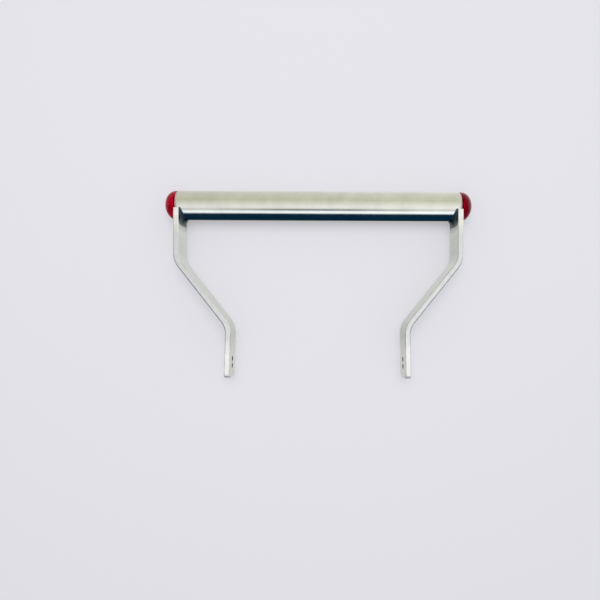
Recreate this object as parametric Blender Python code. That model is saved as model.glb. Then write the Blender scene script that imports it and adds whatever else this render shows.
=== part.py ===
"""Hitch pin lock: a polished stainless bail that closes over a hitch pin.

A round crossbar tube carries a joggled flat-bar arm, welded under each end. Each foot has two small cross holes
for its own pin or bolt. A red dome reflector closes each end of the tube, fixed to a ribbed plug in the bore.

The bail lies flat: the tube runs along X, the arms run towards -Y, and +Z is up. The origin is at the bottom
centre of the whole bail. Both ends are made by the same functions, with side = 1 (right) or side = -1 (left).
"""

import math

import bmesh
import bpy
from mathutils import Vector

# Driving dimensions, in metres.
GAP = 0.0003  # clearance between neighbouring pieces

TUBE_OD = 0.032
TUBE_WALL = 0.0015
TUBE_LENGTH = 0.305
TUBE_END_CHAMFER = 0.0004

BAR_WIDTH = 0.032  # along Z, equal to the tube, so the bail lies flat on both
BAR_THICKNESS = 0.006
BAR_EDGE_RADIUS = 0.0012
BAR_BEND_RADIUS = 0.024  # of the centre line, at both bends
ARM_OVERHANG = 0.0025  # how far the arm's outer face stands out past the end of the tube

# The right arm's centre line: how far out from the middle of the bail, and how far below the tube's axis.
ARM_TOP_DROP = 0.0055
SHOULDER_DROP = 0.0612
ANKLE_OUT = 0.0958
ANKLE_DROP = 0.1320
FOOT_OUT = 0.0972
FOOT_DROP = 0.1880
FOOT_CORNER_RADIUS = 0.006

HOLE_DIAMETER = 0.005
HOLE_FROM_END = 0.0127  # centre of the lower hole to the end of the foot
HOLE_PITCH = 0.0078

WELD_DROP = 0.0222  # from the tube's axis down to the bead's straight lower toe on the arm
WELD_REACH = 0.0056  # along the tube, at its underside
WELD_NARROWING = 0.72  # how much of that reach is gone where the bead ends on the tube's sides
WELD_HOLLOW = 0.7  # 0 is a straight fillet, 1 is a quarter circle
WELD_HALF_ANGLE = math.radians(72)  # how far the bead climbs on each side of the tube's underside

SEAL_THICKNESS = 0.0006
SEAL_OUTER_RADIUS = 0.0156
SEAL_INNER_RADIUS = 0.0136

DOME_RADIUS = 0.0158
DOME_HEIGHT = 0.0138  # rim to crown
DOME_SKIRT = 0.0015  # straight part next to the rim
DOME_WALL = 0.0018

REFLECTOR_RADIUS = 0.0130
REFLECTOR_THICKNESS = 0.0012

PLUG_COLLAR_RADIUS = 0.0131
PLUG_COLLAR_REACH = 0.0029  # past the end of the tube, inside the dome
PLUG_CORE_RADIUS = 0.0126
PLUG_DEPTH = 0.0160  # into the bore
PLUG_WALL = 0.0020
PLUG_RIB_COUNT = 3
PLUG_RIB_PITCH = 0.0042
PLUG_RIB_LENGTH = 0.0026
PLUG_FIRST_RIB = 0.0015  # from the end of the tube

# How finely the round shapes are divided.
TUBE_STEPS = 72
CAP_STEPS = 40  # the pieces of the end caps
HOLE_STEPS = 24
DOME_STEPS = 7
EDGE_STEPS = 3
WELD_STEPS = 32
WELD_FACE_STEPS = 4
BEND_STEP = math.radians(4)
SHARP_ANGLE = math.radians(35)
MERGE = 0.00001

# Worked out from the dimensions above.
TUBE_RADIUS = TUBE_OD / 2
BORE_RADIUS = TUBE_RADIUS - TUBE_WALL
TUBE_END = TUBE_LENGTH / 2
ARM_OUT = TUBE_END + ARM_OVERHANG - BAR_THICKNESS / 2  # centre line of its top
FOOT_SPLAY = math.atan2(FOOT_OUT - ANKLE_OUT, FOOT_DROP - ANKLE_DROP)
LOWEST_DROP = FOOT_DROP + math.sin(FOOT_SPLAY) * BAR_THICKNESS / 2
AXIS = Vector((0.0, (LOWEST_DROP - TUBE_RADIUS) / 2, TUBE_RADIUS))  # middle of the tube

SIDE_NAMES = {1: "right", -1: "left"}


def clear_scene():
    for item in list(bpy.data.objects):
        bpy.data.objects.remove(item, do_unlink=True)


def make_material(name, colour, metallic, roughness):
    material = bpy.data.materials.new(name)
    material.use_nodes = True
    shader = material.node_tree.nodes["Principled BSDF"]
    shader.inputs["Base Color"].default_value = (*colour, 1.0)
    shader.inputs["Metallic"].default_value = metallic
    shader.inputs["Roughness"].default_value = roughness
    return material


def add_object(name, bm, material=None):
    """Turns a closed bmesh into a named object, with its faces outward and its round stretches smooth."""
    bmesh.ops.recalc_face_normals(bm, faces=bm.faces)
    mesh = bpy.data.meshes.new(name)
    bm.to_mesh(mesh)
    bm.free()
    if material is not None:
        mesh.materials.append(material)
    mesh.shade_smooth()
    mesh.set_sharp_from_angle(angle=SHARP_ANGLE)
    item = bpy.data.objects.new(name, mesh)
    bpy.context.scene.collection.objects.link(item)
    return item


def turned(name, profile, closed, steps, material):
    """Spins a profile of (x, radius) points about the tube's axis.

    A closed profile makes a ring. An open profile starts and ends on the axis, and makes a solid or a cup.
    """
    bm = bmesh.new()
    points = [bm.verts.new((x, 0.0, radius)) for x, radius in profile]
    edges = [bm.edges.new(pair) for pair in zip(points, points[1:])]
    if closed:
        edges.append(bm.edges.new((points[-1], points[0])))
    bmesh.ops.spin(
        bm,
        geom=points + edges,
        cent=(0.0, 0.0, 0.0),
        axis=(1.0, 0.0, 0.0),
        angle=math.tau,
        steps=steps,
        use_duplicate=False,
    )
    bmesh.ops.remove_doubles(bm, verts=bm.verts, dist=MERGE)
    item = add_object(name, bm, material)
    item.location = AXIS
    return item


def lofted(name, rings, material):
    """Joins a row of rings with equal point counts into one solid, with a flat cap at each end."""
    bm = bmesh.new()
    rows = [[bm.verts.new(point) for point in ring] for ring in rings]
    for row, after in zip(rows, rows[1:]):
        for i, point in enumerate(row):
            j = (i + 1) % len(row)
            bm.faces.new((point, row[j], after[j], after[i]))
    bm.faces.new(rows[0])
    bm.faces.new(rows[-1])
    item = add_object(name, bm, material)
    item.location = AXIS
    return item


def cut_round(item, name, centre, direction, radius, length, steps):
    """Subtracts a hidden cylinder from an object. The centre is measured from the middle of the tube."""
    bm = bmesh.new()
    bmesh.ops.create_cone(
        bm,
        cap_ends=True,
        segments=steps,
        radius1=radius,
        radius2=radius,
        depth=length,
    )
    cutter = add_object(name, bm)
    cutter.rotation_euler = direction.to_track_quat("Z", "Y").to_euler()
    cutter.location = AXIS + centre
    cutter.hide_render = True
    cutter.display_type = "WIRE"
    boolean = item.modifiers.new(name, "BOOLEAN")
    boolean.operation = "DIFFERENCE"
    boolean.solver = "EXACT"
    boolean.object = cutter


def make_crossbar_tube(material):
    profile = [
        (TUBE_END - TUBE_END_CHAMFER, TUBE_RADIUS),
        (TUBE_END, TUBE_RADIUS - TUBE_END_CHAMFER),
        (TUBE_END, BORE_RADIUS),
        (-TUBE_END, BORE_RADIUS),
        (-TUBE_END, TUBE_RADIUS - TUBE_END_CHAMFER),
        (-TUBE_END + TUBE_END_CHAMFER, TUBE_RADIUS),
    ]
    turned("crossbar_tube", profile, True, TUBE_STEPS, material)


def bent_path(corners, radius):
    """Stations (x, y, heading) along straight runs between the corners, with an arc at each bend."""
    headings = [math.atan2(b[1] - a[1], b[0] - a[0]) for a, b in zip(corners, corners[1:])]
    stations = [(*corners[0], headings[0])]
    for (x, y), before, after in zip(corners[1:-1], headings, headings[1:]):
        turn = after - before
        reach = math.copysign(radius, turn)  # towards the arc's centre, positive to the left of the heading
        run_out = radius * math.tan(abs(turn) / 2)
        centre_x = x - run_out * math.cos(before) - reach * math.sin(before)
        centre_y = y - run_out * math.sin(before) + reach * math.cos(before)
        steps = math.ceil(abs(turn) / BEND_STEP)
        for i in range(steps + 1):
            heading = before + turn * i / steps
            along_x = centre_x + reach * math.sin(heading)
            along_y = centre_y - reach * math.cos(heading)
            stations.append((along_x, along_y, heading))
    stations.append((*corners[-1], headings[-1]))
    return stations


def bar_section(half_width):
    """The flat bar's outline as (across its thickness, along Z) points, with rounded edges."""
    outline = []
    for quarter in range(4):
        for step in range(EDGE_STEPS + 1):
            angle = math.radians(90) * (quarter + step / EDGE_STEPS)
            middle = math.radians(90) * (quarter + 0.5)
            flat_u = math.copysign(BAR_THICKNESS / 2 - BAR_EDGE_RADIUS, math.cos(middle))
            flat_v = math.copysign(half_width - BAR_EDGE_RADIUS, math.sin(middle))
            u = flat_u + BAR_EDGE_RADIUS * math.cos(angle)
            v = flat_v + BAR_EDGE_RADIUS * math.sin(angle)
            outline.append((u, v))
    return outline


def make_arm(side, material):
    """Sweeps the flat bar along its two bends, rounds the foot, saddles the top and drills the foot."""
    corners = [
        (side * ARM_OUT, -ARM_TOP_DROP),
        (side * ARM_OUT, -SHOULDER_DROP),
        (side * ANKLE_OUT, -ANKLE_DROP),
        (side * FOOT_OUT, -FOOT_DROP),
    ]
    *stations, (end_x, end_y, heading) = bent_path(corners, BAR_BEND_RADIUS)
    sections = [(x, y, turn, BAR_WIDTH / 2) for x, y, turn in stations]
    for step in range(EDGE_STEPS + 1):
        angle = math.radians(90) * step / EDGE_STEPS
        back = FOOT_CORNER_RADIUS * (1 - math.sin(angle))
        inset = FOOT_CORNER_RADIUS * (1 - math.cos(angle))
        x = end_x - back * math.cos(heading)
        y = end_y - back * math.sin(heading)
        sections.append((x, y, heading, BAR_WIDTH / 2 - inset))
    rings = [
        [(x - u * math.sin(turn), y + u * math.cos(turn), v) for u, v in bar_section(half_width)]
        for x, y, turn, half_width in sections
    ]
    name = SIDE_NAMES[side]
    arm = lofted(f"{name}_arm", rings, material)

    along_tube = Vector((1.0, 0.0, 0.0))
    saddle_centre = Vector((side * ARM_OUT, 0.0, 0.0))
    saddle_length = 2 * BAR_THICKNESS
    cut_round(arm, f"{name}_saddle", saddle_centre, along_tube, TUBE_RADIUS + GAP, saddle_length, TUBE_STEPS)

    foot_end = Vector((end_x, end_y, 0.0))
    up_foot = Vector((-math.cos(heading), -math.sin(heading), 0.0))
    across_foot = Vector((-math.sin(heading), math.cos(heading), 0.0))
    for i in range(2):
        centre = foot_end + up_foot * (HOLE_FROM_END + i * HOLE_PITCH)
        hole = f"{name}_foot_hole_{i + 1}"
        cut_round(arm, hole, centre, across_foot, HOLE_DIAMETER / 2, 2 * BAR_THICKNESS, HOLE_STEPS)


def make_weld(side, material):
    """A hollow fillet in the corner between the tube's underside and the arm's inner face.

    The bead follows the tube from one edge of the bar to the other. On the arm it ends in a straight toe below the
    tube and along the bar's two edges, with round corners between. Its reach along the tube shrinks towards the
    bead's two ends.
    """
    corner_out = ARM_OUT - BAR_THICKNESS / 2 - GAP
    corner_radius = TUBE_RADIUS + GAP
    rings = []
    for i in range(WELD_STEPS + 1):
        share = 2 * i / WELD_STEPS - 1
        angle = WELD_HALF_ANGLE * share
        to_toe = WELD_DROP / math.cos(angle)
        to_edge = BAR_WIDTH / 2 / max(abs(math.sin(angle)), 0.1)
        height = (to_toe**-10 + to_edge**-10) ** -0.1 - corner_radius
        length = WELD_REACH * (1 - WELD_NARROWING * share**2)
        section = [(corner_out, corner_radius)]
        for step in range(WELD_FACE_STEPS + 1):
            face = step / WELD_FACE_STEPS
            curve = math.radians(90) * face
            in_from_arm = length * ((1 - WELD_HOLLOW) * face + WELD_HOLLOW * (1 - math.cos(curve)))
            off_tube = height * ((1 - WELD_HOLLOW) * (1 - face) + WELD_HOLLOW * (1 - math.sin(curve)))
            section.append((corner_out - in_from_arm, corner_radius + off_tube))
        rings.append(
            [(side * out, -radius * math.cos(angle), radius * math.sin(angle)) for out, radius in section]
        )
    lofted(f"{SIDE_NAMES[side]}_weld_bead", rings, material)


def make_seal(side, material):
    near = TUBE_END + GAP
    far = near + SEAL_THICKNESS
    profile = [
        (side * near, SEAL_INNER_RADIUS),
        (side * near, SEAL_OUTER_RADIUS),
        (side * far, SEAL_OUTER_RADIUS),
        (side * far, SEAL_INNER_RADIUS),
    ]
    turned(f"{SIDE_NAMES[side]}_seal_ring", profile, True, CAP_STEPS, material)


def dome_curve(side, rim, radius, height):
    """A quarter ellipse on top of the straight skirt, from the crown on the axis back to the rim."""
    rise = height - DOME_SKIRT
    curve = []
    for step in range(DOME_STEPS + 1):
        angle = math.radians(90) * step / DOME_STEPS
        curve.append((side * (rim + DOME_SKIRT + rise * math.cos(angle)), radius * math.sin(angle)))
    curve.append((side * rim, radius))
    return curve


def make_dome(side, material):
    rim = TUBE_END + SEAL_THICKNESS + 2 * GAP
    outside = dome_curve(side, rim, DOME_RADIUS, DOME_HEIGHT)
    inside = dome_curve(side, rim, DOME_RADIUS - DOME_WALL, DOME_HEIGHT - DOME_WALL)
    turned(f"{SIDE_NAMES[side]}_red_dome", outside + inside[::-1], False, CAP_STEPS, material)


def make_reflector(side, material):
    near = TUBE_END + PLUG_COLLAR_REACH + GAP
    far = near + REFLECTOR_THICKNESS
    profile = [
        (side * near, 0.0),
        (side * near, REFLECTOR_RADIUS),
        (side * far, REFLECTOR_RADIUS),
        (side * far, 0.0),
    ]
    turned(f"{SIDE_NAMES[side]}_reflector_disc", profile, False, CAP_STEPS, material)


def make_plug(side, material):
    """A cup, open towards the middle of the tube, with saw-tooth ribs that grip the bore."""
    outer = TUBE_END + PLUG_COLLAR_REACH
    inner = TUBE_END - PLUG_DEPTH
    profile = [
        (outer, 0.0),
        (outer, PLUG_COLLAR_RADIUS),
        (TUBE_END, PLUG_COLLAR_RADIUS),
        (TUBE_END, PLUG_CORE_RADIUS),
    ]
    for rib in range(PLUG_RIB_COUNT):
        start = TUBE_END - PLUG_FIRST_RIB - rib * PLUG_RIB_PITCH
        profile.append((start, PLUG_CORE_RADIUS))
        profile.append((start, BORE_RADIUS - GAP))
        profile.append((start - PLUG_RIB_LENGTH, PLUG_CORE_RADIUS))
    profile += [
        (inner, PLUG_CORE_RADIUS),
        (inner, PLUG_CORE_RADIUS - PLUG_WALL),
        (outer - PLUG_WALL, PLUG_CORE_RADIUS - PLUG_WALL),
        (outer - PLUG_WALL, 0.0),
    ]
    sided = [(side * x, radius) for x, radius in profile]
    turned(f"{SIDE_NAMES[side]}_end_plug", sided, False, CAP_STEPS, material)


def main():
    clear_scene()
    tube_steel = make_material("tube_steel", (0.72, 0.72, 0.68), 1.0, 0.18)
    bar_steel = make_material("bar_steel", (0.70, 0.70, 0.67), 1.0, 0.28)
    weld_steel = make_material("weld_steel", (0.62, 0.62, 0.60), 1.0, 0.30)
    red_lens = make_material("red_lens", (0.45, 0.01, 0.03), 0.0, 0.08)
    foil = make_material("reflector_foil", (0.80, 0.78, 0.78), 0.9, 0.20)
    plug_plastic = make_material("plug_plastic", (0.03, 0.03, 0.03), 0.0, 0.50)
    seal_rubber = make_material("seal_rubber", (0.60, 0.56, 0.56), 0.0, 0.50)

    make_crossbar_tube(tube_steel)
    for side in SIDE_NAMES:
        make_arm(side, bar_steel)
        make_weld(side, weld_steel)
        make_seal(side, seal_rubber)
        make_dome(side, red_lens)
        make_reflector(side, foil)
        make_plug(side, plug_plastic)


main()
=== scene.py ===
# %% [markdown]
# # A hitch pin lock in polished stainless steel
#
# The object is a bail, a U that closes over a hitch pin. A round tube makes the crossbar. Under each end
# of it a flat bar is welded on, bent inwards and bent back, so that the two feet come closer together
# than the tube is long. Each foot has two small holes. A red dome sits in each end of the tube.
#
# The solid model already says where everything is. This script loads it as a fixed frame, builds a finer
# surface for each of its pieces in the same place, gives each one a finish, and sets up a small studio
# round them.

# %% Load the frame and note its box
import math
import bmesh
import bpy
import numpy as np
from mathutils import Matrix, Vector


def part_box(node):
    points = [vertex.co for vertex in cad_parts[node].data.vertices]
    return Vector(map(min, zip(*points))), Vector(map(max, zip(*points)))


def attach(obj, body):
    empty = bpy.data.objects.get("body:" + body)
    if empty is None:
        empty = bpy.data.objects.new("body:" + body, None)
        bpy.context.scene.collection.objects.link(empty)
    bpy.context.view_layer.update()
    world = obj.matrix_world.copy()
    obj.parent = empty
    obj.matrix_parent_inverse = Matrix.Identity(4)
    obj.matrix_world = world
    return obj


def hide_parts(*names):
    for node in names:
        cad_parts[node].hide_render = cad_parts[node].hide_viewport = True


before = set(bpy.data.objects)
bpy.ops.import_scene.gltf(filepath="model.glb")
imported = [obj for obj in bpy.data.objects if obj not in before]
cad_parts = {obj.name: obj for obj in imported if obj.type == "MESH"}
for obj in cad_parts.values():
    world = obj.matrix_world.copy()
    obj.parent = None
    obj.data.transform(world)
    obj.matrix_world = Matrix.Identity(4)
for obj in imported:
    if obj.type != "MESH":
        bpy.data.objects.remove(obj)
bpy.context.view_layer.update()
print("nodes:", ", ".join(sorted(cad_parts)))

# %% [markdown]
# ## Measure first, model second
#
# A maker measures the rough part before making the finished one. The boxes of the tube, an arm and a dome
# give the tube's axis, its radius and its ends, the width of the flat bar, and how far the domes stand
# out. Only the bends of the arm can't be read from a box, so they are named here as distances out from
# the middle of the bail and down from the tube's axis.

# %% The sizes that everything hangs on
tube_low, tube_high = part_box("crossbar_tube")
arm_low, arm_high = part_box("right_arm")
dome_low, dome_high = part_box("right_red_dome")
seal_low, seal_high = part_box("right_seal_ring")
disc_low, disc_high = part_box("right_reflector_disc")
plug_low, plug_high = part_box("right_end_plug")

TUBE_RADIUS = (tube_high[2] - tube_low[2]) / 2
TUBE_END = tube_high[0]
TUBE_WALL = 0.0015
AXIS_Y = (tube_low[1] + tube_high[1]) / 2
AXIS_Z = (tube_low[2] + tube_high[2]) / 2

BAR_THICKNESS = 0.006
BAR_HALF_WIDTH = (arm_high[2] - arm_low[2]) / 2
BAR_EDGE_RADIUS = 0.0012
BAR_BEND_RADIUS = 0.024
ARM_OUT = arm_high[0] - BAR_THICKNESS / 2
ARM_TOP_DROP = AXIS_Y - arm_high[1]
SHOULDER_DROP = 0.0612
ANKLE_OUT = 0.0958
ANKLE_DROP = 0.1320
FOOT_OUT = 0.0972
FOOT_DROP = 0.1880
FOOT_CORNER_RADIUS = 0.006

SIDES = {"right": 1, "left": -1}
print(f"tube: radius {1000 * TUBE_RADIUS:.1f} mm, ends at {1000 * TUBE_END:.1f} mm")
print(f"bar: {2000 * BAR_HALF_WIDTH:.1f} mm wide, outer face at {1000 * arm_high[0]:.1f} mm")
print(f"foot: ends {1000 * FOOT_DROP:.1f} mm under the axis")
print(f"frame: lowest point {1000 * (AXIS_Y - arm_low[1]):.1f} mm under the axis")

# %% [markdown]
# ## Surfaces from grids
#
# Every piece here is a surface with two parameters. One runs along the piece and one runs round it, and a
# grid of points is worked out for both at once as a numpy array. Blender could make the same shapes with
# primitives and modifiers, but a grid puts each point exactly where the formula says, and polished metal
# shows every bad point. The grid's neighbours are joined into quads, the points of a pole are merged, and
# the faces are turned outwards.


# %% Grids, caps and pieces
MERGE = 0.000001
SHARP_DEGREES = 40


def grid_quads(rows, columns, wrap_rows=False):
    """Quads between neighbours of a grid numbered row by row. Columns wrap round, and rows do if asked."""
    row = np.arange(rows if wrap_rows else rows - 1)[:, None]
    column = np.arange(columns)[None, :]
    after = (column + 1) % columns
    below = (row + 1) % rows
    corners = [
        row * columns + column,
        row * columns + after,
        below * columns + after,
        below * columns + column,
    ]
    return np.stack(np.broadcast_arrays(*corners), axis=-1).reshape(-1, 4)


def ladder_quads(first, columns):
    """Closes a ring whose point i faces point columns - 1 - i, with quads like the rungs of a ladder."""
    rung = np.arange(columns // 2 - 1)
    corners = [first + rung, first + rung + 1, first + columns - 2 - rung, first + columns - 1 - rung]
    return np.stack(corners, axis=-1)


def clean(mesh):
    """Merges the doubled points of poles and turns the faces outwards."""
    bm = bmesh.new()
    bm.from_mesh(mesh)
    bmesh.ops.remove_doubles(bm, verts=bm.verts, dist=MERGE)
    bmesh.ops.recalc_face_normals(bm, faces=bm.faces)
    bm.to_mesh(mesh)
    bm.free()


def place_in_scene(name, data):
    item = bpy.data.objects.new(name, data)
    bpy.context.scene.collection.objects.link(item)
    return item


def make_piece(name, points, quads, material, sharp_degrees=SHARP_DEGREES):
    """Makes a smooth-shaded piece from a grid of points and its quads, and lets it ride on the bail."""
    points = points.reshape(-1, 3)
    mesh = bpy.data.meshes.new(name)
    mesh.vertices.add(len(points))
    mesh.vertices.foreach_set("co", points.astype(np.float32).ravel())
    mesh.loops.add(quads.size)
    mesh.loops.foreach_set("vertex_index", quads.astype(np.int32).ravel())
    mesh.polygons.add(len(quads))
    mesh.polygons.foreach_set("loop_start", np.arange(0, quads.size, 4, dtype=np.int32))
    mesh.update(calc_edges=True)
    clean(mesh)
    mesh.shade_smooth()
    mesh.set_sharp_from_angle(angle=math.radians(sharp_degrees))
    mesh.materials.append(material)
    piece = place_in_scene(name, mesh)
    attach(piece, "root")
    print(f"{name}: {len(mesh.vertices)} points, {len(mesh.polygons)} faces")
    return piece


def turned(profile, steps):
    """Carries a profile of (x, radius) rows round the tube's axis. Angle 0 points down the arms, to -Y."""
    angle = np.linspace(0.0, math.tau, steps, endpoint=False)
    x = np.repeat(profile[:, :1], steps, axis=1)
    y = AXIS_Y - profile[:, 1:] * np.cos(angle)
    z = AXIS_Z + profile[:, 1:] * np.sin(angle)
    return np.stack([x, y, z], axis=-1)


def quarter(start, end, centre, steps):
    """A quarter of an ellipse round a centre, from one (x, radius) point to another."""
    share = np.linspace(0.0, math.pi / 2, steps)[:, None]
    start, end, centre = (np.array(point) for point in (start, end, centre))
    return centre + (start - centre) * np.cos(share) + (end - centre) * np.sin(share)


# %% [markdown]
# ## Finishes are small node trees
#
# A finish in Blender is a tree of nodes that ends in a Principled shader. Each tree here starts from
# Object coordinates, which stay fixed to the metal, then stretches them along the way the part was
# polished. Noise in those stretched coordinates gives the fine lines that a polishing mop leaves. A
# second, broader noise gives the uneven patches of handwork. Values that are the same all over are set
# straight on the shader.


# %% Helpers for node trees
# Each pair is where an effect starts and where it is full, along Y unless its own comment says otherwise.
# FOOT_SHINE and WELD_SHINE also set where the bar's colour goes paler: a painted sheen.
FOOT_SHINE = (AXIS_Y - ANKLE_DROP - 0.010, AXIS_Y - ANKLE_DROP - 0.030)
WELD_SHINE = (AXIS_Y - 0.034, AXIS_Y - 0.020)
DRESSING = (AXIS_Y - 0.020, AXIS_Y - 0.012)
# The next two pairs set where the bar's colour goes darker on its inner face, just under the bead.
UNDER_BEAD_DARKENING = (AXIS_Y - 0.030, AXIS_Y - 0.022)
UNDER_BEAD_DARKENING_EDGE = (AXIS_Z + 0.0152, AXIS_Z + 0.0138)  # along Z: the darkening stops short of the narrow edge
MATT_METALLIC = 0.5  # how metallic the bar still is where it is matt


def linear(*display):
    """Turns a display colour from 0 to 255 into the linear colour that shaders want."""
    share = np.array(display) / 255
    return tuple(np.where(share <= 0.04045, share / 12.92, ((share + 0.055) / 1.055) ** 2.4).tolist())


class Tree:
    """The node tree of a material or a world, with short calls to add nodes and join them."""

    def __init__(self, owner):
        owner.use_nodes = True
        self.owner = owner
        self.nodes = owner.node_tree.nodes
        self.links = owner.node_tree.links

    def add(self, kind, inputs=None, **settings):
        node = self.nodes.new(kind)
        for key, value in settings.items():
            setattr(node, key, value)
        for key, value in (inputs or {}).items():
            if isinstance(value, bpy.types.NodeSocket):
                self.links.new(value, node.inputs[key])
            else:
                node.inputs[key].default_value = value
        return node

    def place(self, scale, rotation=(0.0, 0.0, 0.0)):
        """Object coordinates, scaled per axis. A low scale along an axis stretches the pattern along it."""
        coordinates = self.add("ShaderNodeTexCoord")
        inputs = {"Vector": coordinates.outputs["Object"], "Scale": scale, "Rotation": rotation}
        return self.add("ShaderNodeMapping", inputs).outputs["Vector"]

    def noise(self, vector, scale, detail=3.0, roughness=0.5):
        inputs = {"Vector": vector, "Scale": scale, "Detail": detail, "Roughness": roughness}
        return self.add("ShaderNodeTexNoise", inputs).outputs["Fac"]

    def spread(self, value, low, high, from_low=0.3, from_high=0.7):
        """Maps a noise value onto a range."""
        inputs = {"Value": value, "From Min": from_low, "From Max": from_high}
        inputs.update({"To Min": low, "To Max": high})
        return self.add("ShaderNodeMapRange", inputs).outputs["Result"]

    def bump(self, height, strength, distance, normal=None):
        inputs = {"Height": height, "Strength": strength, "Distance": distance}
        if normal is not None:
            inputs["Normal"] = normal
        return self.add("ShaderNodeBump", inputs).outputs["Normal"]

    def blend(self, factor, low, high):
        """Goes from one colour to another as the factor goes from 0 to 1."""
        mix = self.add("ShaderNodeMix", data_type="RGBA")
        self.links.new(factor, mix.inputs["Factor"])
        for name, value in (("A", low), ("B", high)):
            if isinstance(value, bpy.types.NodeSocket):
                self.links.new(value, mix.inputs[name])
            else:
                mix.inputs[name].default_value = (*value, 1.0)
        return mix.outputs["Result"]

    def math(self, operation, *values):
        return self.add("ShaderNodeMath", dict(enumerate(values)), operation=operation).outputs[0]

    def drive(self, name, socket):
        self.links.new(socket, self.nodes["Principled BSDF"].inputs[name])

    def fix(self, **values):
        for name, value in values.items():
            self.nodes["Principled BSDF"].inputs[name.replace("_", " ")].default_value = value


def new_finish(name):
    return Tree(bpy.data.materials.new(name))


def steel(name, colour, shine, grain_scale, patch, line_depth, patch_depth, painted_sheen_colour=None, under_bead_colour=None):
    """Polished stainless: fine lines along the polish, broad patches, and a few stray scratches.

    Towards the foot and the weld the colour goes paler, to the given sheen colour: a painted sheen.
    With a colour for under the bead, the bar is also matt there, and darker on its inner face just under
    the bead.
    """
    tree = new_finish(name)
    lines = tree.noise(tree.place(grain_scale), 1.0, detail=4.0)
    patches = tree.noise(tree.place((1.0, 1.0, 1.0)), patch, detail=3.0)
    scratch_noise = tree.noise(tree.place((260.0, 1900.0, 700.0), (0.3, 0.2, 0.6)), 1.0, detail=1.0)
    scratches = tree.spread(scratch_noise, 0.0, 1.0, from_low=0.70, from_high=0.76)

    place = tree.add("ShaderNodeSeparateXYZ", {0: tree.place((1.0, 1.0, 1.0))}).outputs
    foot = tree.spread(place["Y"], 0.0, 1.0, *FOOT_SHINE)
    weld = tree.spread(place["Y"], 0.0, 1.0, *WELD_SHINE)
    # Paler colour towards the foot and the weld: a painted sheen.
    bright = tree.blend(tree.math("MAXIMUM", foot, weld), colour, painted_sheen_colour or colour)
    if under_bead_colour:
        # Darker colour on the inner face just under the bead.
        under_bead = tree.spread(place["Y"], 0.0, 1.0, *UNDER_BEAD_DARKENING)
        below_edge = tree.spread(place["Z"], 0.0, 1.0, *UNDER_BEAD_DARKENING_EDGE)
        bright = tree.blend(tree.math("MULTIPLY", under_bead, below_edge), bright, under_bead_colour)
        matt = tree.math("MAXIMUM", foot, tree.spread(place["Y"], 0.0, 1.0, *DRESSING))
        tree.drive("Metallic", tree.spread(matt, 1.0, MATT_METALLIC, 0.0, 1.0))
    else:
        tree.fix(Metallic=1.0)
    shade = tree.spread(patches, 0.88, 1.0)
    shaded = tree.add("ShaderNodeVectorMath", {0: bright, "Scale": shade}, operation="SCALE")
    tree.drive("Base Color", shaded.outputs["Vector"])

    low, high = shine
    smooth = tree.math("ADD", tree.spread(patches, low, high), tree.spread(lines, -0.02, 0.03))
    tree.drive("Roughness", tree.math("MULTIPLY_ADD", scratches, 0.12, smooth))

    broad = tree.bump(patches, 1.0, patch_depth)
    fine = tree.bump(lines, 1.0, line_depth, broad)
    tree.drive("Normal", tree.bump(scratches, 0.4, -line_depth, fine))
    print(f"finish {name}: roughness {low} to {high}")
    return tree.owner


def moulded(name, dark, light, rough, grain):
    """A dull finish for rubber, plastic and drilled metal: slightly cloudy colour and a fine even grain."""
    tree = new_finish(name)
    cloud = tree.noise(tree.place((1.0, 1.0, 1.0)), 200.0)
    tree.drive("Base Color", tree.blend(tree.spread(cloud, 0.0, 1.0), dark, light))
    fine = tree.noise(tree.place((1.0, 1.0, 1.0)), grain)
    tree.drive("Roughness", tree.spread(fine, rough - 0.06, rough + 0.06))
    tree.drive("Normal", tree.bump(fine, 1.0, 0.00002))
    print(f"finish {name}: roughness about {rough}")
    return tree.owner


TUBE_STEEL = steel(
    "polished_tube",
    colour=linear(232, 232, 228),
    shine=(0.09, 0.14),
    grain_scale=(30.0, 1500.0, 1500.0),
    patch=60.0,
    line_depth=0.000002,
    patch_depth=0.00002,
)
BAR_STEEL = steel(
    "polished_bar",
    colour=linear(236, 238, 246),
    # painted sheen: the colour goes paler towards the foot and the weld
    painted_sheen_colour=linear(255, 255, 255),
    # darker colour just under the bead, on the inner face
    under_bead_colour=linear(176, 180, 186),
    shine=(0.18, 0.28),
    grain_scale=(900.0, 120.0, 900.0),
    patch=180.0,
    line_depth=0.000005,
    patch_depth=0.00014,
)
# The weld's dark blue-grey colour is partly heat tint, and partly painted shade and a painted reflection of
# dark surroundings.
WELD_STEEL_SHADED = steel(
    "polished_weld",
    colour=linear(84, 98, 108),
    shine=(0.16, 0.28),
    grain_scale=(700.0, 700.0, 700.0),
    patch=400.0,
    line_depth=0.000008,
    patch_depth=0.00012,
)
# The near-black colour of the hole walls is painted shade inside the holes, on dull drilled metal.
DRILLED_WALL_SHADED = moulded("drilled_wall_shaded", linear(18, 19, 20), linear(36, 38, 40), 0.70, 2500.0)

# %% [markdown]
# ## The crossbar tube
#
# The real tube is cut from polished stock, and its ends are broken with a file so that they don't cut a
# hand. A tube is a profile carried round an axis: down the outside, over a small rounding, back through
# the bore and over the other rounding. The profile closes on itself, so the surface is a closed ring with
# a real wall.

# %% Tube
TUBE_EDGE = 0.0005
TUBE_STEPS = 256


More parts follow.
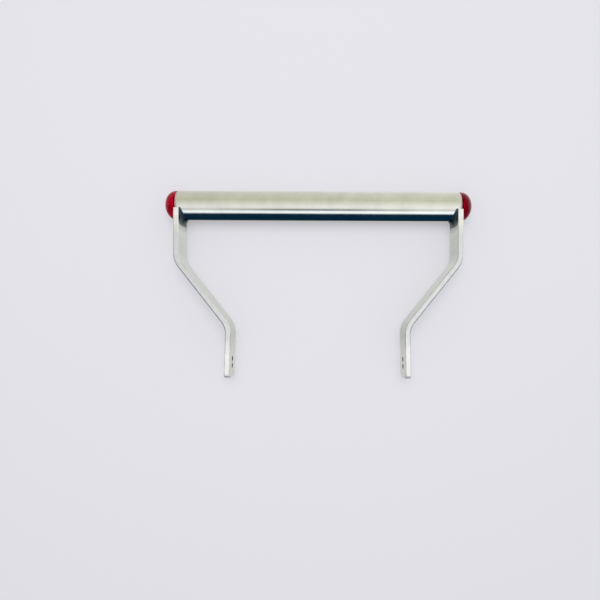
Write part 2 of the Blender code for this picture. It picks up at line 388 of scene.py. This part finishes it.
def tube_profile():
    """(x, radius) rows of the wall's section: outside, rounded right end, bore, rounded left end."""
    bore = TUBE_RADIUS - TUBE_WALL
    inner_edge = TUBE_EDGE / 2
    along = np.linspace(-(TUBE_END - TUBE_EDGE), TUBE_END - TUBE_EDGE, 61)
    outside = np.stack([along, np.full_like(along, TUBE_RADIUS)], axis=-1)
    back = np.linspace(TUBE_END - inner_edge, -(TUBE_END - inner_edge), 31)
    inside = np.stack([back, np.full_like(back, bore)], axis=-1)
    right_rim = quarter(
        (TUBE_END - TUBE_EDGE, TUBE_RADIUS),
        (TUBE_END, TUBE_RADIUS - TUBE_EDGE),
        (TUBE_END - TUBE_EDGE, TUBE_RADIUS - TUBE_EDGE),
        6,
    )
    right_lip = quarter(
        (TUBE_END, bore + inner_edge),
        (TUBE_END - inner_edge, bore),
        (TUBE_END - inner_edge, bore + inner_edge),
        5,
    )
    mirror = np.array([-1.0, 1.0])
    left_lip = right_lip[::-1] * mirror
    left_rim = right_rim[::-1] * mirror
    return np.concatenate([outside, right_rim[1:], right_lip, inside[1:-1], left_lip, left_rim[:-1]])


profile = tube_profile()
tube_quads = grid_quads(len(profile), TUBE_STEPS, wrap_rows=True)
tube = make_piece("tube_shell", turned(profile, TUBE_STEPS), tube_quads, TUBE_STEEL)
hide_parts("crossbar_tube")

# %% [markdown]
# ## The arms
#
# An arm is one length of flat bar, bent twice in a brake: inwards at the shoulder, and nearly straight
# again at the ankle. It could be a curve with a bevel profile, but then its top could not fit the tube.
# Here the bar's outline is carried along the path row by row. The outline is a rectangle whose corners
# are rounded off, because polishing always takes the corners down first. In the first straight run every
# line of the grid starts at its own height, on the round of the tube, as a bar does when it is ground to
# a saddle before welding. The arms are left out of reflections, because a perfect mirror image of them in
# the tube would break up its long clean bands.


# %% The bar's outline and path
SADDLE_ROWS = 20  # rows of the first straight run, whose lines start on the tube
STRAIGHT_ROWS = (SADDLE_ROWS, 46, 26)
ARC_ROWS = 18


def bar_outline():
    """Half of the bar's outline as two arrays. A point is core * (half size - edge) + round * edge."""
    corner = np.linspace(0.0, math.pi / 2, 6)
    narrow = np.linspace(0.02, 1.0, 4)
    wide = np.linspace(1.0, -1.0, 33)
    top_core = np.stack([narrow[:-1], np.ones(3)], axis=-1)
    top_round = np.tile([0.0, 1.0], (3, 1))
    first_core = np.ones((6, 2))
    first_round = np.stack([np.sin(corner), np.cos(corner)], axis=-1)
    face_core = np.stack([np.ones(31), wide[1:-1]], axis=-1)
    face_round = np.tile([1.0, 0.0], (31, 1))
    flip = np.array([1.0, -1.0])
    core = np.concatenate([top_core, first_core, face_core, first_core * flip, top_core[::-1] * flip])
    edge = np.concatenate([top_round, first_round, face_round, first_round[::-1] * flip, top_round * flip])
    mirror = np.array([-1.0, 1.0])
    return np.concatenate([core, core[::-1] * mirror]), np.concatenate([edge, edge[::-1] * mirror])


def heading_between(start, end):
    return math.atan2(end[1] - start[1], end[0] - start[0])


def arm_stations():
    """(x, y, heading) rows for the right arm's three straights and two arcs. y is 0 at the tube's axis."""
    corners = [(ARM_OUT, 0.0), (ARM_OUT, -SHOULDER_DROP), (ANKLE_OUT, -ANKLE_DROP), (FOOT_OUT, -FOOT_DROP)]
    headings = [heading_between(a, b) for a, b in zip(corners, corners[1:])]
    rows = []
    run_start = np.array(corners[0])
    next_headings = headings[1:] + [headings[-1]]
    for corner, before, after, count in zip(corners[1:], headings, next_headings, STRAIGHT_ROWS):
        turn = after - before
        run_out = BAR_BEND_RADIUS * math.tan(abs(turn) / 2)
        ahead = np.array([math.cos(before), math.sin(before)])
        run_end = np.array(corner) - ahead * run_out
        share = np.linspace(0.0, 1.0, count)[:, None]
        straight = run_start + (run_end - run_start) * share
        rows.append(np.concatenate([straight, np.full((count, 1), before)], axis=1))
        if turn:
            reach = math.copysign(BAR_BEND_RADIUS, turn)
            angle = before + turn * np.linspace(0.0, 1.0, ARC_ROWS)[1:-1]
            centre = run_end + reach * np.array([-math.sin(before), math.cos(before)])
            arc = centre + reach * np.stack([np.sin(angle), -np.cos(angle)], axis=-1)
            rows.append(np.concatenate([arc, angle[:, None]], axis=1))
            run_start = np.array(corner) + run_out * np.array([math.cos(after), math.sin(after)])
    return np.concatenate(rows)


stations = arm_stations()
outline_core, outline_edge = bar_outline()
print(f"arm: {len(stations)} rows of {len(outline_core)} points")

# %% [markdown]
# The foot's end needs two roundings at once. Seen from its wide side the end has two round corners, and
# all round that shape the edge is broken as well. Both come from one idea: a smaller core shape with
# sharp edges, and a ball rolled round it. The core's corners use up most of the corner radius, and the
# ball's radius is the rest.

# %% Arm
CORE_HALF = np.array([BAR_THICKNESS / 2, BAR_HALF_WIDTH]) - BAR_EDGE_RADIUS
FOOT_CORE_RADIUS = FOOT_CORNER_RADIUS - BAR_EDGE_RADIUS
SADDLE_BITE = 0.0001  # how far the bar sinks into the tube, so that no slit shows


def arm_points():
    """The right arm's grid: outline rows along the path, then the rounding of the foot's end."""
    x, y, heading = stations[:, 0], stations[:, 1], stations[:, 2]
    ahead = np.array([math.cos(heading[-1]), math.sin(heading[-1])])
    end = stations[-1, :2]

    corner = np.linspace(0.0, math.pi / 2, 8)
    rim = np.linspace(0.0, math.pi / 2, 7)[1:]
    core_back = FOOT_CORE_RADIUS * (1 - np.sin(corner)) + BAR_EDGE_RADIUS
    rim_back = BAR_EDGE_RADIUS * (1 - np.sin(rim))
    back = np.concatenate([core_back, rim_back])
    stop = end - ahead * FOOT_CORNER_RADIUS
    keep = (stations[:, :2] - stop) @ ahead < -0.0002
    tail = end - ahead * back[:, None]
    x = np.concatenate([x[keep], tail[:, 0]])
    y = np.concatenate([y[keep], tail[:, 1]])
    heading = np.concatenate([heading[keep], np.full(len(back), heading[-1])])

    count = len(x)
    core = np.tile(CORE_HALF, (count, 1))
    corner_inset = FOOT_CORE_RADIUS * (1 - np.cos(corner))
    core[-len(back):, 1] -= np.concatenate([corner_inset, np.full(len(rim), FOOT_CORE_RADIUS)])
    edge = np.full(count, BAR_EDGE_RADIUS)
    edge[-len(rim):] = BAR_EDGE_RADIUS * np.cos(rim)
    across = outline_core[None, :, :] * core[:, None, :] + outline_edge[None, :, :] * edge[:, None, None]
    u, v = across[..., 0], across[..., 1]

    points_x = x[:, None] - u * np.sin(heading)[:, None]
    points_y = y[:, None] + u * np.cos(heading)[:, None]
    saddle = np.sqrt(np.maximum(TUBE_RADIUS**2 - v[:SADDLE_ROWS] ** 2, ARM_TOP_DROP**2)) - SADDLE_BITE
    run = -stations[SADDLE_ROWS - 1, 1]
    share = np.linspace(0.0, 1.0, SADDLE_ROWS)[:, None]
    points_y[:SADDLE_ROWS] = -(saddle + (run - saddle) * share)
    return np.stack([points_x, AXIS_Y + points_y, AXIS_Z + v], axis=-1)


def arm_quads(rows, columns):
    ends = [ladder_quads(0, columns), ladder_quads((rows - 1) * columns, columns)]
    return np.concatenate([grid_quads(rows, columns), *ends])


arm_grid = arm_points()
arms = {}
for side, sign in SIDES.items():
    grid = arm_grid * np.array([sign, 1.0, 1.0])
    arms[side] = make_piece(f"{side}_arm_bar", grid, arm_quads(*grid.shape[:2]), BAR_STEEL)
    arms[side].visible_glossy = False
    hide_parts(f"{side}_arm")

# %% [markdown]
# ## Drilled holes
#
# Each foot is drilled twice through its wide face. A drill leaves a round wall, and a countersink or a
# file breaks its two edges. The cutter is therefore a turned shape with a waist as wide as the drill and
# a flare at each face. A Boolean takes it out of the bar, and the result is kept as the arm's mesh. No
# mop reaches inside a small hole, so the cutter hands its own dull finish to the faces that it leaves.
# Its near-black colour is painted shade inside the hole.

# %% Holes
HOLE_RADIUS = 0.0025
HOLE_FLARE = 0.0004
HOLE_FROM_END = 0.0127
HOLE_PITCH = 0.0078
HOLE_STEPS = 64
DRILL_EXTRA = 0.001  # how far the cutter stands out past the bar's faces


def drill(centre, direction):
    """A closed cutter: (along, radius) rows carried round the hole's axis.

    Each flare runs straight on through the bar's face, so that no ring of the cutter lies in that face.
    """
    half = BAR_THICKNESS / 2
    past = half + DRILL_EXTRA
    wide = HOLE_RADIUS + HOLE_FLARE + DRILL_EXTRA
    rows = np.array(
        [
            (-past, 0.0),
            (-past, wide),
            (-half + HOLE_FLARE, HOLE_RADIUS),
            (half - HOLE_FLARE, HOLE_RADIUS),
            (past, wide),
            (past, 0.0),
        ]
    )
    angle = np.linspace(0.0, math.tau, HOLE_STEPS, endpoint=False)
    side_way = np.array([-direction[1], direction[0], 0.0])
    along = rows[:, :1, None] * direction
    spokes = np.cos(angle)[:, None] * side_way + np.sin(angle)[:, None] * [0.0, 0.0, 1.0]
    around = rows[:, 1:, None] * spokes
    points = (centre + along + around).reshape(-1, 3)
    quads = grid_quads(len(rows), HOLE_STEPS)
    mesh = bpy.data.meshes.new("drill")
    mesh.from_pydata(points.tolist(), [], quads.tolist())
    clean(mesh)
    # The cutter's near-black finish is painted shade on the hole's wall.
    mesh.materials.append(DRILLED_WALL_SHADED)
    return place_in_scene("drill", mesh)


def cut(piece, cutter):
    """Subtracts the cutter from the piece for good, and throws the cutter away."""
    modifier = piece.modifiers.new("hole", "BOOLEAN")
    modifier.operation = "DIFFERENCE"
    modifier.solver = "EXACT"
    modifier.material_mode = "TRANSFER"
    modifier.object = cutter
    evaluated = piece.evaluated_get(bpy.context.evaluated_depsgraph_get())
    mesh = bpy.data.meshes.new_from_object(evaluated)
    piece.modifiers.clear()
    piece.data = mesh
    mesh.shade_smooth()
    mesh.set_sharp_from_angle(angle=math.radians(SHARP_DEGREES))
    bpy.data.objects.remove(cutter)


foot_heading = stations[-1, 2]
for side, sign in SIDES.items():
    up_foot = np.array([-math.cos(foot_heading) * sign, -math.sin(foot_heading), 0.0])
    across_foot = np.array([-math.sin(foot_heading) * sign, math.cos(foot_heading), 0.0])
    foot_end = np.array([FOOT_OUT * sign, AXIS_Y - FOOT_DROP, AXIS_Z])
    for i in range(2):
        cut(arms[side], drill(foot_end + up_foot * (HOLE_FROM_END + i * HOLE_PITCH), across_foot))
    print(f"{side} arm drilled: {len(arms[side].data.polygons)} faces")

# %% [markdown]
# ## Welds
#
# A fillet weld fills the inside corner between two plates with a hollow slope. Here one plate is the flat
# arm and the other is the round tube, so the bead follows a curved corner. The section is drawn in two
# directions, along the tube and up the arm, and carried round the tube by an angle. A slow wobble and a
# faint ripple are added to the section's size, because nobody lays a perfect bead, and polishing only
# softens what is there.

# %% Weld beads
WELD_LEG = 0.0064  # down the arm, from under the tube to the bead's straight lower toe
WELD_SHY = 0.0004  # how far the bead stops short of the bar's narrow edges
WELD_REACH = 0.0058  # along the tube, at its underside
WELD_NARROWING = 0.72  # how much of that reach is gone where the bead ends on the tube's sides
WELD_HOLLOW = 0.7
WELD_HALF_ANGLE = math.radians(72)
WELD_SINK = 0.0002
WELD_ROWS = 181
WELD_FACE = 14


def around_tube(out, radius, angle):
    """Points from a distance along the tube, a radius from its axis and an angle from -Y."""
    out, radius, angle = np.broadcast_arrays(out, radius, angle)
    return np.stack([out, AXIS_Y - radius * np.cos(angle), AXIS_Z + radius * np.sin(angle)], axis=-1)


def weld_points():
    """Grid of the right bead. Its columns go over the hollow face to the arm's toe, then back inside."""
    share = np.linspace(-1.0, 1.0, WELD_ROWS)[:, None]
    angle = WELD_HALF_ANGLE * share
    inner_face = ARM_OUT - BAR_THICKNESS / 2
    wobble = 1 + 0.05 * np.sin(7.0 * angle + 0.6) + 0.03 * np.sin(17.0 * angle)
    to_toe = (TUBE_RADIUS + wobble * WELD_LEG) / np.cos(angle)
    to_edge = (BAR_HALF_WIDTH - WELD_SHY) / np.maximum(np.abs(np.sin(angle)), 0.1)
    height = (to_toe**-10 + to_edge**-10) ** -0.1 - TUBE_RADIUS
    length = wobble * WELD_REACH * (1 - WELD_NARROWING * share**2)
    ripple = 1 + 0.02 * np.sin(140.0 * angle) * (1 - share**6)

    curve = math.pi / 2 * np.linspace(0.0, 1.0, WELD_FACE)
    straight = np.linspace(0.0, 1.0, WELD_FACE)
    from_arm = length * ripple * ((1 - WELD_HOLLOW) * (1 - straight) + WELD_HOLLOW * (1 - np.sin(curve)))
    off_tube = height * ripple * ((1 - WELD_HOLLOW) * straight + WELD_HOLLOW * (1 - np.cos(curve)))
    back = np.linspace(1.0, -1.0, WELD_FACE)
    hidden_out = inner_face + WELD_SINK - (length + WELD_SINK) * np.maximum(-back, 0.0)
    hidden_radius = TUBE_RADIUS - WELD_SINK + (height + WELD_SINK) * np.maximum(back, 0.0)
    out = np.concatenate([inner_face - from_arm, hidden_out], axis=1)
    radius = np.concatenate([TUBE_RADIUS + off_tube, hidden_radius], axis=1)
    return around_tube(out, radius, angle)


bead_grid = weld_points()
for side, sign in SIDES.items():
    grid = bead_grid * np.array([sign, 1.0, 1.0])
    bead = make_piece(f"{side}_weld_fillet", grid, arm_quads(*grid.shape[:2]), WELD_STEEL_SHADED, 60)
    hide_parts(f"{side}_weld_bead")

# %% [markdown]
# ## The red end caps
#
# A cap is a small assembly: a moulded red lens, a silvered disc behind it, a ribbed plug that grips the
# bore, and a thin ring that keeps water out. The lens is a bowl. Its outside is smooth, and its inside is
# pressed into small pyramids, which turn light back the way it came. The pyramids are real geometry here:
# the inner wall's points move in and out by two triangle waves, one round the axis and one from the rim
# to the crown.


# %% Red lens finish
RIGHT_LENS_DARKENING = 0.58  # how dark the right lens's red is, against the left one's


def red_lens():
    """Clear red plastic. Its look comes from the facets and from the foil behind it."""
    tree = new_finish("red_lens")
    flow = tree.noise(tree.place((1.0, 1.0, 1.0)), 110.0, detail=2.0)
    red = tree.blend(tree.spread(flow, 0.0, 1.0), linear(208, 0, 78), linear(252, 0, 94))
    place = tree.add("ShaderNodeSeparateXYZ", {0: tree.place((1.0, 1.0, 1.0))}).outputs
    # The red is darker on the right lens than on the left one.
    right_darkening = tree.spread(place["X"], 1.0, RIGHT_LENS_DARKENING, -0.1, 0.1)
    shaded = tree.add("ShaderNodeVectorMath", {0: red, "Scale": right_darkening}, operation="SCALE")
    tree.drive("Base Color", shaded.outputs["Vector"])
    handling = tree.noise(tree.place((1.0, 1.0, 1.0)), 900.0, detail=2.0)
    tree.drive("Roughness", tree.spread(handling, 0.02, 0.08))
    tree.drive("Normal", tree.bump(flow, 1.0, 0.00004))
    tree.fix(Transmission_Weight=1.0, IOR=1.49, Specular_IOR_Level=0.05)
    tree.fix(Specular_Tint=(*linear(255, 40, 80), 1.0))
    return tree.owner


RED_LENS = red_lens()

# %% Lens
LENS_SKIRT = 0.0015
LENS_WALL = 0.0018
LENS_STEPS = 288
FACET_COUNT = 36
FACET_RINGS = 8
FACET_DEPTH = 0.0006
FACET_FOCUS = 0.004  # behind the rim, the point that the facets are pressed towards
LENS_ROWS = 49

lens_rim = dome_low[0]
lens_crown = dome_high[0]
lens_radius = (dome_high[2] - dome_low[2]) / 2
print(f"lens: radius {1000 * lens_radius:.1f} mm, {1000 * (lens_crown - lens_rim):.1f} mm high")


def triangle_wave(turns):
    """Rises from 0 to 1 and falls back to 0 in each whole turn."""
    return 1 - np.abs(2 * (turns - np.floor(turns)) - 1)


def lens_points():
    """Grid of the right lens: down the outside, round the rim, then up the inside with its pyramids."""
    shoulder = lens_rim + LENS_SKIRT
    outside = quarter((lens_crown, 0.0), (shoulder, lens_radius), (shoulder, 0.0), LENS_ROWS)
    rim = np.array(
        [
            (lens_rim + 0.0003, lens_radius),
            (lens_rim + 0.0001, lens_radius - 0.0001),
            (lens_rim, lens_radius - 0.0003),
            (lens_rim, lens_radius - LENS_WALL),
        ]
    )
    wall_radius = lens_radius - LENS_WALL
    inside = quarter((shoulder, wall_radius), (lens_crown - LENS_WALL, 0.0), (shoulder, 0.0), LENS_ROWS)
    smooth = turned(np.concatenate([outside, rim]), LENS_STEPS)
    faceted = turned(inside, LENS_STEPS)

    row = np.linspace(0.0, 1.0, LENS_ROWS)[:, None]
    column = np.linspace(0.0, FACET_COUNT, LENS_STEPS, endpoint=False)[None, :]
    pyramid = np.minimum(triangle_wave(column), triangle_wave(row * FACET_RINGS))
    fade = np.minimum(1.0, 6 * (1 - row)) * np.minimum(1.0, 12 * row)
    depth = FACET_DEPTH * pyramid * fade
    focus = np.array([lens_rim - FACET_FOCUS, AXIS_Y, AXIS_Z])
    inward = focus - faceted
    faceted += inward / np.linalg.norm(inward, axis=-1, keepdims=True) * depth[..., None]
    return np.concatenate([smooth, faceted])


lens_grid = lens_points()
for side, sign in SIDES.items():
    grid = lens_grid * np.array([sign, 1.0, 1.0])
    lens = make_piece(f"{side}_lens", grid, grid_quads(*grid.shape[:2]), RED_LENS, 30)
    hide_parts(f"{side}_red_dome")

# %% [markdown]
# ## Behind the lens
#
# The foil disc is a plate pressed into small square pyramids, about two millimetres across. It shines
# through the lens and makes its middle bright. The seal ring and the plug are plain turned shapes with
# rounded edges, and only a thin pale line of the ring shows between the lens and the tube. Its pale
# colour is a painted highlight along that rim.


# %% Foil, rubber and plug finishes
def foil():
    """Silvered plastic film: slightly cloudy and very slightly uneven."""
    tree = new_finish("reflector_foil")
    cloud = tree.noise(tree.place((1.0, 1.0, 1.0)), 300.0)
    tree.drive("Roughness", tree.spread(cloud, 0.10, 0.24))
    tree.drive("Normal", tree.bump(cloud, 1.0, 0.00003))
    tree.fix(Base_Color=(*linear(232, 226, 226), 1.0), Metallic=1.0)
    return tree.owner


FOIL = foil()
PLUG_PLASTIC = moulded("plug_plastic", linear(22, 22, 23), linear(40, 40, 42), 0.45, 2500.0)
# The seal's pale pink is a painted highlight: it stands for a bright rim between the lens and the tube.
SEAL_RUBBER_HIGHLIGHT = moulded("seal_rubber", linear(232, 212, 210), linear(248, 232, 230), 0.50, 3500.0)

# %% Reflector disc, seal ring and plug
FOIL_PITCH = 0.0022
FOIL_DEPTH = 0.0007
FOIL_BORDER = 0.0008
DISC_STEPS = 192
RING_STEPS = 192
RING_WIDTH = 0.0020
PLUG_WALL = 0.0020
PLUG_CORE_DROP = 0.0019  # from the bore down to the plug's core
PLUG_RIB_COUNT = 3
PLUG_RIB_PITCH = 0.0042
PLUG_RIB_LENGTH = 0.0026
PLUG_FIRST_RIB = 0.0015
PLUG_COLLAR = 0.0005  # how far the collar stands out from the core
PLUG_EDGE = 0.0003
PLUG_RIB_EDGE = 0.0002


def disc_points():
    """Grid of the right disc: out over the front with its pyramids, then in over the flat back."""
    radius = (disc_high[2] - disc_low[2]) / 2
    spokes = np.linspace(0.0, radius, 60)
    front = turned(np.stack([np.full_like(spokes, disc_high[0]), spokes], axis=-1), DISC_STEPS)
    y = (front[..., 1] - AXIS_Y) / FOIL_PITCH
    z = (front[..., 2] - AXIS_Z) / FOIL_PITCH
    edge = np.minimum(1.0, (radius - spokes[:, None]) / FOIL_BORDER)
    front[..., 0] -= FOIL_DEPTH * (1 - np.minimum(triangle_wave(y), triangle_wave(z))) * edge
    back_spokes = spokes[::-4]
    back = turned(np.stack([np.full_like(back_spokes, disc_low[0]), back_spokes], axis=-1), DISC_STEPS)
    back[-1] = [disc_low[0], AXIS_Y, AXIS_Z]
    return np.concatenate([front, back])


def ring_profile():
    """(x, radius) rows of the seal's section: an ellipse-cornered strip, closed on itself."""
    outer = (seal_high[2] - seal_low[2]) / 2
    inner = outer - RING_WIDTH
    half = (seal_high[0] - seal_low[0]) / 2
    angle = np.linspace(0.0, math.tau, 20, endpoint=False)
    squared = np.stack([np.cos(angle), np.sin(angle)], axis=-1)
    squared = np.sign(squared) * np.abs(squared) ** 0.5
    middle = np.array([(seal_low[0] + seal_high[0]) / 2, (outer + inner) / 2])
    return middle + squared * np.array([half, (outer - inner) / 2])


def plug_profile():
    """(x, radius) rows of the plug: outer face, collar, saw-tooth ribs, open end, then the hollow."""
    outer, inner = plug_high[0], plug_low[0]
    grip = (plug_high[2] - plug_low[2]) / 2
    core = TUBE_RADIUS - TUBE_WALL - PLUG_CORE_DROP
    collar = core + PLUG_COLLAR
    rows = [(outer, 0.0), (outer, collar - PLUG_EDGE), (outer - PLUG_EDGE, collar)]
    rows += [(TUBE_END, collar), (TUBE_END, core)]
    for rib in range(PLUG_RIB_COUNT):
        start = TUBE_END - PLUG_FIRST_RIB - rib * PLUG_RIB_PITCH
        rows += [(start, core), (start, grip - PLUG_RIB_EDGE)]
        rows += [(start - PLUG_RIB_EDGE, grip), (start - PLUG_RIB_LENGTH, core)]
    hollow = core - PLUG_WALL
    rows += [(inner + PLUG_EDGE, core), (inner, core - PLUG_EDGE), (inner, hollow)]
    rows += [(outer - PLUG_WALL, hollow), (outer - PLUG_WALL, 0.0)]
    return np.array(rows)


disc_grid = disc_points()
disc_quads = grid_quads(*disc_grid.shape[:2])
ring_rows = ring_profile()
ring_grid = turned(ring_rows, RING_STEPS)
ring_quads = grid_quads(len(ring_rows), RING_STEPS, wrap_rows=True)
plug_rows = plug_profile()
plug_grid = turned(plug_rows, RING_STEPS)
plug_quads = grid_quads(len(plug_rows), RING_STEPS)
for side, sign in SIDES.items():
    turn = np.array([sign, 1.0, 1.0])
    disc = make_piece(f"{side}_foil_disc", disc_grid * turn, disc_quads, FOIL, 15)
    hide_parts(f"{side}_reflector_disc")
    ring = make_piece(f"{side}_seal", ring_grid * turn, ring_quads, SEAL_RUBBER_HIGHLIGHT)
    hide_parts(f"{side}_seal_ring")
    plug = make_piece(f"{side}_plug", plug_grid * turn, plug_quads, PLUG_PLASTIC, 30)
    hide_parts(f"{side}_end_plug")

# %% [markdown]
# ## The studio
#
# Polished steel has hardly any colour of its own: it shows the room. So the room is the most important
# part of its finish. The crossbar reads the room as bands, one for each direction round its axis. The
# bands here are a pale ceiling, a muted wall behind, a narrow shadow line and a bright strip at the
# front, and a dark blue wall beyond it. The shadow line softens towards the tube's ends, where rays lean
# sideways. Rays that point well to the side meet plain side walls, paler at the back, and these are what
# the wide faces of the arms show. The room is painted on the world by direction and seen only by
# reflections and through the lenses. Everything else sees an even pale light.

# %% Room seen in reflections
FLOOR_GREY = linear(180, 180, 170)
BACK_WALL = linear(210, 210, 205)
CEILING_DULL = linear(190, 190, 170)
CEILING_LIT = linear(225, 225, 220)
SHADOW_LINE = linear(130, 130, 130)
SHADOW_LINE_SOFT = linear(200, 200, 195)
WINDOW_STRIP = linear(245, 252, 255)
NAVY = linear(5, 35, 55)
# The pairs below are a start and an end, in the sideways or the Y part of a ray's direction.
LINE_FADE = (0.05, 0.22)  # the shadow line softens
SIDE_WALL_FAR = linear(198, 199, 194)
SIDE_WALL_NEAR = linear(104, 108, 110)
SIDE_WALL_TURN = (0.16, -0.30)  # the far part of a side wall gives way to the near part
SIDE_WALL_START = (0.36, 0.62)  # the bands give way to the side walls
ROOM_STRENGTH = 1.3
PLAIN_STRENGTH = 0.62  # of the even light that everything but a reflection sees
ROOM_TILT = 0.3  # how much brighter the room is to the right, and darker to the left


def room_bands(shadow):
    """(degrees, colour) stops round the X axis, with the given colour for the shadow line."""
    return [
        (-180, FLOOR_GREY),
        (-145, BACK_WALL),
        (-35, CEILING_DULL),
        (10, CEILING_LIT),
        (27, CEILING_LIT),
        (36, shadow),
        (42, shadow),
        (53, WINDOW_STRIP),
        (63, WINDOW_STRIP),
        (75, NAVY),
        (150, NAVY),
        (172, FLOOR_GREY),
        (180, FLOOR_GREY),
    ]


def band_ramp(tree, share, bands):
    """A colour ramp with one stop for each band."""
    ramp = tree.add("ShaderNodeValToRGB", {"Fac": share})
    stops = ramp.color_ramp.elements
    for index, (degrees, colour) in enumerate(bands):
        position = (degrees + 180) / 360
        stop = stops[index] if index < 2 else stops.new(position)
        stop.position = position
        stop.color = (*colour, 1.0)
    return ramp.outputs["Color"]


def make_world():
    """Paints the bands by the angle round the X axis: 0 is straight up and 90 is level, towards -Y."""
    world = bpy.data.worlds.new("studio")
    bpy.context.scene.world = world
    tree = Tree(world)
    direction = tree.add("ShaderNodeTexCoord").outputs["Generated"]
    ray = tree.add("ShaderNodeSeparateXYZ", {0: direction}).outputs
    angle = tree.math("ARCTAN2", tree.math("MULTIPLY", ray["Y"], -1.0), ray["Z"])
    share = tree.spread(angle, 0.0, 1.0, -math.pi, math.pi)
    sideways = tree.math("ABSOLUTE", ray["X"])
    soft = tree.spread(sideways, 0.0, 1.0, *LINE_FADE)
    sharp_line = band_ramp(tree, share, room_bands(SHADOW_LINE))
    soft_line = band_ramp(tree, share, room_bands(SHADOW_LINE_SOFT))
    bands = tree.blend(soft, sharp_line, soft_line)
    wall = tree.blend(tree.spread(ray["Y"], 0.0, 1.0, *SIDE_WALL_TURN), SIDE_WALL_FAR, SIDE_WALL_NEAR)
    walled = tree.blend(tree.spread(sideways, 0.0, 1.0, *SIDE_WALL_START), bands, wall)
    strength = tree.math("MULTIPLY_ADD", ray["X"], ROOM_TILT, ROOM_STRENGTH)
    room = tree.add("ShaderNodeBackground", {"Color": walled, "Strength": strength})
    even_light = {"Color": (*linear(240, 240, 244), 1.0), "Strength": PLAIN_STRENGTH}
    plain = tree.add("ShaderNodeBackground", even_light)
    path = tree.add("ShaderNodeLightPath").outputs
    reflected = tree.math("MAXIMUM", path["Is Glossy Ray"], path["Is Transmission Ray"])
    mix = tree.add("ShaderNodeMixShader", {0: reflected, 1: plain.outputs[0], 2: room.outputs[0]})
    tree.links.new(mix.outputs[0], tree.nodes["World Output"].inputs["Surface"])
    print(f"world: {len(room_bands(SHADOW_LINE))} stops round the tube")


make_world()

# %% [markdown]
# ## The floor and the lamp
#
# The bail lies on a pale sheet. A sheet lit only from above would turn grey under the tube, so this one
# also glows a little, and the shadows on it stay faint. One wide round lamp overhead gives them soft
# edges. Neither the sheet nor the lamp is seen in the steel, because the painted room already is.

# %% Floor and light
FLOOR_HALF = 4.0
FLOOR_DROP = 0.0002  # under the bail, so that the two surfaces don't meet
FLOOR_GLOW = 0.385


def make_floor():
    """A square pale sheet that glows a little."""
    mesh = bpy.data.meshes.new("floor")
    signs = [(-1, -1), (1, -1), (1, 1), (-1, 1)]
    corners = [(x * FLOOR_HALF, y * FLOOR_HALF, -FLOOR_DROP) for x, y in signs]
    mesh.from_pydata(corners, [], [(0, 1, 2, 3)])
    floor = place_in_scene("floor", mesh)
    tree = new_finish("floor")
    tree.fix(Base_Color=(*linear(186, 186, 189), 1.0), Roughness=0.9, Specular_IOR_Level=0.0)
    tree.fix(Emission_Color=(*linear(240, 239, 246), 1.0), Emission_Strength=FLOOR_GLOW)
    mesh.materials.append(tree.owner)
    floor.visible_glossy = False


def make_light(name, place, target, size, power):
    """A round softbox that faces the target and isn't itself seen in the steel."""
    light = bpy.data.lights.new(name, "AREA")
    light.shape = "DISK"
    light.size = size
    light.energy = power
    lamp = place_in_scene(name, light)
    lamp.location = place
    lamp.rotation_euler = (Vector(target) - Vector(place)).to_track_quat("-Z", "Y").to_euler()
    lamp.visible_glossy = False
    print(f"{name}: {power} W, {size} m across")


make_floor()
make_light("overhead_softbox", (0.0, 0.35, 1.5), (0.0, 0.0, 0.0), 1.1, 10.0)

# %% [markdown]
# ## The camera
#
# The camera looks straight down from about half a metre, like a hand-held phone over a table. From so
# near, each arm shows its top edge and its inner face at once. The lens shift keeps the camera level
# while the frame is set.

# %% Camera
CAMERA_HEIGHT = 0.505
CAMERA_BELOW_TUBE = 0.1166
camera_data = bpy.data.cameras.new("camera")
camera_data.sensor_width = 36.0
camera_data.lens = 27.54
camera_data.shift_x = -0.0298
camera_data.shift_y = 0.0207
camera_data.clip_start = 0.01
camera = place_in_scene("camera", camera_data)
camera.location = (0.0, AXIS_Y - CAMERA_BELOW_TUBE, AXIS_Z + CAMERA_HEIGHT)
camera.rotation_euler = (0.0, 0.0, math.radians(0.3))
bpy.context.scene.camera = camera
bpy.context.scene.view_settings.view_transform = "Standard"
print(f"camera: {1000 * CAMERA_HEIGHT:.0f} mm above the tube's axis, lens {camera_data.lens} mm")
